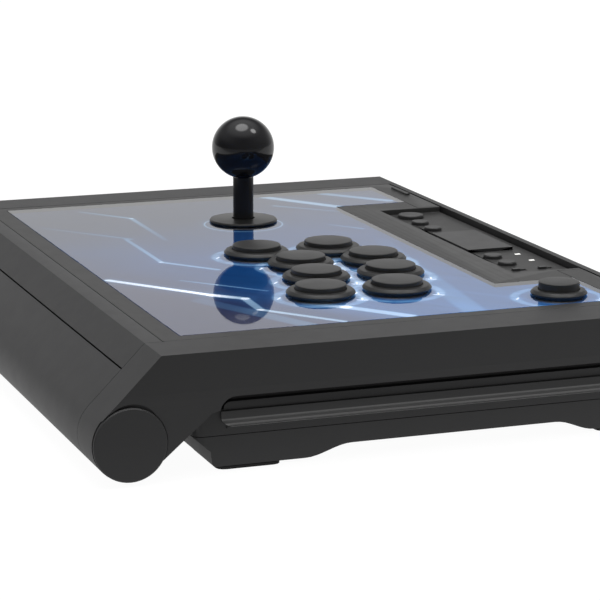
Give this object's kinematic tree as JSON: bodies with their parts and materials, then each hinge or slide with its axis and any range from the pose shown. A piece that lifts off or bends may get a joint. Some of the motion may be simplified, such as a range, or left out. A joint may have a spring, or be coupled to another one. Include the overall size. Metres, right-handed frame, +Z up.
{
  "type": "arcade joystick panel",
  "caption": "Table-top arcade controller: ball-top lever, rimmed push buttons and function keys on a glossy blue deck in a hinged lid, over a charcoal case with a rounded palm rest.",
  "frame": {"origin": "middle of the footprint, on the plane that the feet stand on", "axes": "+X to the player's right, +Y away from the player, from the palm rest to the hinged back, and +Z up, square to the deck"},
  "size_m": [0.3998, 0.2962, 0.1189],
  "materials": {
    "case_plastic": "fine satin grain, charcoal",
    "lid_plastic": "fine satin grain, charcoal",
    "grip_plastic": "satin, charcoal",
    "foot_rubber": "matte",
    "board": "green solder mask",
    "sheet_steel": "plain sheet",
    "shaft_steel": "polished",
    "deck_artwork": "clear glossy sheet over blue artwork",
    "ball_plastic": "polished black",
    "white_plastic": "natural",
    "key_plastic": "satin black",
    "button_housing_plastic": "satin charcoal",
    "button_cap_plastic": "satin charcoal"
  },
  "bodies": {
    "case": {"base_plate": "case_plastic", "case_frame": "case_plastic", "end_cap_left": "case_plastic", "end_cap_right": "case_plastic", "palm_rest": "case_plastic", "front_trim": "case_plastic", "tube_plug_left": "case_plastic", "tube_plug_right": "case_plastic", "grip_rail_left": "grip_plastic", "grip_rail_right": "grip_plastic", "foot_front_left": "foot_rubber", "foot_front_right": "foot_rubber", "foot_rear_left": "foot_rubber", "foot_rear_right": "foot_rubber", "circuit_board": "board", "usb_socket": "sheet_steel", "hinge_pin_left": "shaft_steel", "hinge_pin_right": "shaft_steel"},
    "lid": {"lid_frame": "lid_plastic", "panel_plate": "sheet_steel", "deck_cover": "deck_artwork", "function_tray": "lid_plastic", "lower_button_1_housing": "button_housing_plastic", "lower_button_2_housing": "button_housing_plastic", "lower_button_3_housing": "button_housing_plastic", "lower_button_4_housing": "button_housing_plastic", "upper_button_1_housing": "button_housing_plastic", "upper_button_2_housing": "button_housing_plastic", "upper_button_3_housing": "button_housing_plastic", "upper_button_4_housing": "button_housing_plastic", "option_button_housing": "button_housing_plastic", "stick_mount_plate": "sheet_steel", "stick_housing": "case_plastic", "restrictor_gate": "case_plastic", "switch_board": "board"},
    "stick_gimbal": {"pivot": "white_plastic"},
    "stick": {"stick_shaft": "shaft_steel", "shaft_cover": "ball_plastic", "ball_top": "ball_plastic", "actuator": "white_plastic", "stick_spring": "shaft_steel"},
    "washer_slide": {"lower_dust_disc": "ball_plastic"},
    "washer": {"dust_washer": "ball_plastic"},
    "lower_button_1_cap": {"lower_button_1_cap": "button_cap_plastic"},
    "lower_button_2_cap": {"lower_button_2_cap": "button_cap_plastic"},
    "lower_button_3_cap": {"lower_button_3_cap": "button_cap_plastic"},
    "lower_button_4_cap": {"lower_button_4_cap": "button_cap_plastic"},
    "upper_button_1_cap": {"upper_button_1_cap": "button_cap_plastic"},
    "upper_button_2_cap": {"upper_button_2_cap": "button_cap_plastic"},
    "upper_button_3_cap": {"upper_button_3_cap": "button_cap_plastic"},
    "upper_button_4_cap": {"upper_button_4_cap": "button_cap_plastic"},
    "option_button_cap": {"option_button_cap": "button_cap_plastic"},
    "function_button_1": {"function_button_1": "key_plastic"},
    "function_button_2": {"function_button_2": "key_plastic"},
    "function_button_3": {"function_button_3": "key_plastic"},
    "function_button_4": {"function_button_4": "key_plastic"},
    "home_button": {"home_button": "key_plastic"},
    "touchpad": {"touchpad": "key_plastic"},
    "slide_switch_1": {"slide_switch_1": "key_plastic"},
    "slide_switch_2": {"slide_switch_2": "key_plastic"}
  },
  "joints": [
    {"name": "lid_hinge", "type": "hinge", "parent": "case", "child": "lid", "pos_m": [0, 0.1403, 0.0574], "axis": [-1, 0, 0], "range_deg": [0, 70]},
    {"name": "stick_tilt_x", "type": "hinge", "parent": "lid", "child": "stick_gimbal", "pos_m": [-0.09, 0.0216, 0.0394], "axis": [1, 0, 0], "range_deg": [-8, 8], "stiffness_Nm_per_rad": 0.6},
    {"name": "stick_tilt_y", "type": "hinge", "parent": "stick_gimbal", "child": "stick", "pos_m": [-0.09, 0.0216, 0.0394], "axis": [0, 1, 0], "range_deg": [-8, 8], "stiffness_Nm_per_rad": 0.6},
    {"name": "washer_slide_x", "type": "slide", "parent": "lid", "child": "washer_slide", "axis": [1, 0, 0], "range_m": [-0.003, 0.003]},
    {"name": "washer_slide_y", "type": "slide", "parent": "washer_slide", "child": "washer", "axis": [0, 1, 0], "range_m": [-0.003, 0.003]},
    {"name": "lower_button_1_press", "type": "slide", "parent": "lid", "child": "lower_button_1_cap", "axis": [0, 0, -1], "range_m": [0, 0.0026], "stiffness_N_per_m": 200, "springref_m": -0.002},
    {"name": "lower_button_2_press", "type": "slide", "parent": "lid", "child": "lower_button_2_cap", "axis": [0, 0, -1], "range_m": [0, 0.0026], "stiffness_N_per_m": 200, "springref_m": -0.002},
    {"name": "lower_button_3_press", "type": "slide", "parent": "lid", "child": "lower_button_3_cap", "axis": [0, 0, -1], "range_m": [0, 0.0026], "stiffness_N_per_m": 200, "springref_m": -0.002},
    {"name": "lower_button_4_press", "type": "slide", "parent": "lid", "child": "lower_button_4_cap", "axis": [0, 0, -1], "range_m": [0, 0.0026], "stiffness_N_per_m": 200, "springref_m": -0.002},
    {"name": "upper_button_1_press", "type": "slide", "parent": "lid", "child": "upper_button_1_cap", "axis": [0, 0, -1], "range_m": [0, 0.0026], "stiffness_N_per_m": 200, "springref_m": -0.002},
    {"name": "upper_button_2_press", "type": "slide", "parent": "lid", "child": "upper_button_2_cap", "axis": [0, 0, -1], "range_m": [0, 0.0026], "stiffness_N_per_m": 200, "springref_m": -0.002},
    {"name": "upper_button_3_press", "type": "slide", "parent": "lid", "child": "upper_button_3_cap", "axis": [0, 0, -1], "range_m": [0, 0.0026], "stiffness_N_per_m": 200, "springref_m": -0.002},
    {"name": "upper_button_4_press", "type": "slide", "parent": "lid", "child": "upper_button_4_cap", "axis": [0, 0, -1], "range_m": [0, 0.0026], "stiffness_N_per_m": 200, "springref_m": -0.002},
    {"name": "option_button_press", "type": "slide", "parent": "lid", "child": "option_button_cap", "axis": [0, 0, -1], "range_m": [0, 0.0026], "stiffness_N_per_m": 200, "springref_m": -0.002},
    {"name": "function_button_1_press", "type": "slide", "parent": "lid", "child": "function_button_1", "axis": [0, 0, -1], "range_m": [0, 0.001], "stiffness_N_per_m": 300, "springref_m": -0.001},
    {"name": "function_button_2_press", "type": "slide", "parent": "lid", "child": "function_button_2", "axis": [0, 0, -1], "range_m": [0, 0.001], "stiffness_N_per_m": 300, "springref_m": -0.001},
    {"name": "function_button_3_press", "type": "slide", "parent": "lid", "child": "function_button_3", "axis": [0, 0, -1], "range_m": [0, 0.001], "stiffness_N_per_m": 300, "springref_m": -0.001},
    {"name": "function_button_4_press", "type": "slide", "parent": "lid", "child": "function_button_4", "axis": [0, 0, -1], "range_m": [0, 0.001], "stiffness_N_per_m": 300, "springref_m": -0.001},
    {"name": "home_button_press", "type": "slide", "parent": "lid", "child": "home_button", "axis": [0, 0, -1], "range_m": [0, 0.001], "stiffness_N_per_m": 300, "springref_m": -0.001},
    {"name": "touchpad_press", "type": "slide", "parent": "lid", "child": "touchpad", "axis": [0, 0, -1], "range_m": [0, 0.0006], "stiffness_N_per_m": 600, "springref_m": -0.001},
    {"name": "slide_switch_1_travel", "type": "slide", "parent": "lid", "child": "slide_switch_1", "axis": [0, 1, 0], "range_m": [0, 0.0035]},
    {"name": "slide_switch_2_travel", "type": "slide", "parent": "lid", "child": "slide_switch_2", "axis": [0, 1, 0], "range_m": [0, 0.0035]}
  ],
  "couplings": [
    {"joint": "washer_slide_x", "follows": "stick_tilt_y", "m_per_rad": 0.021},
    {"joint": "washer_slide_y", "follows": "stick_tilt_x", "m_per_rad": -0.021}
  ]
}
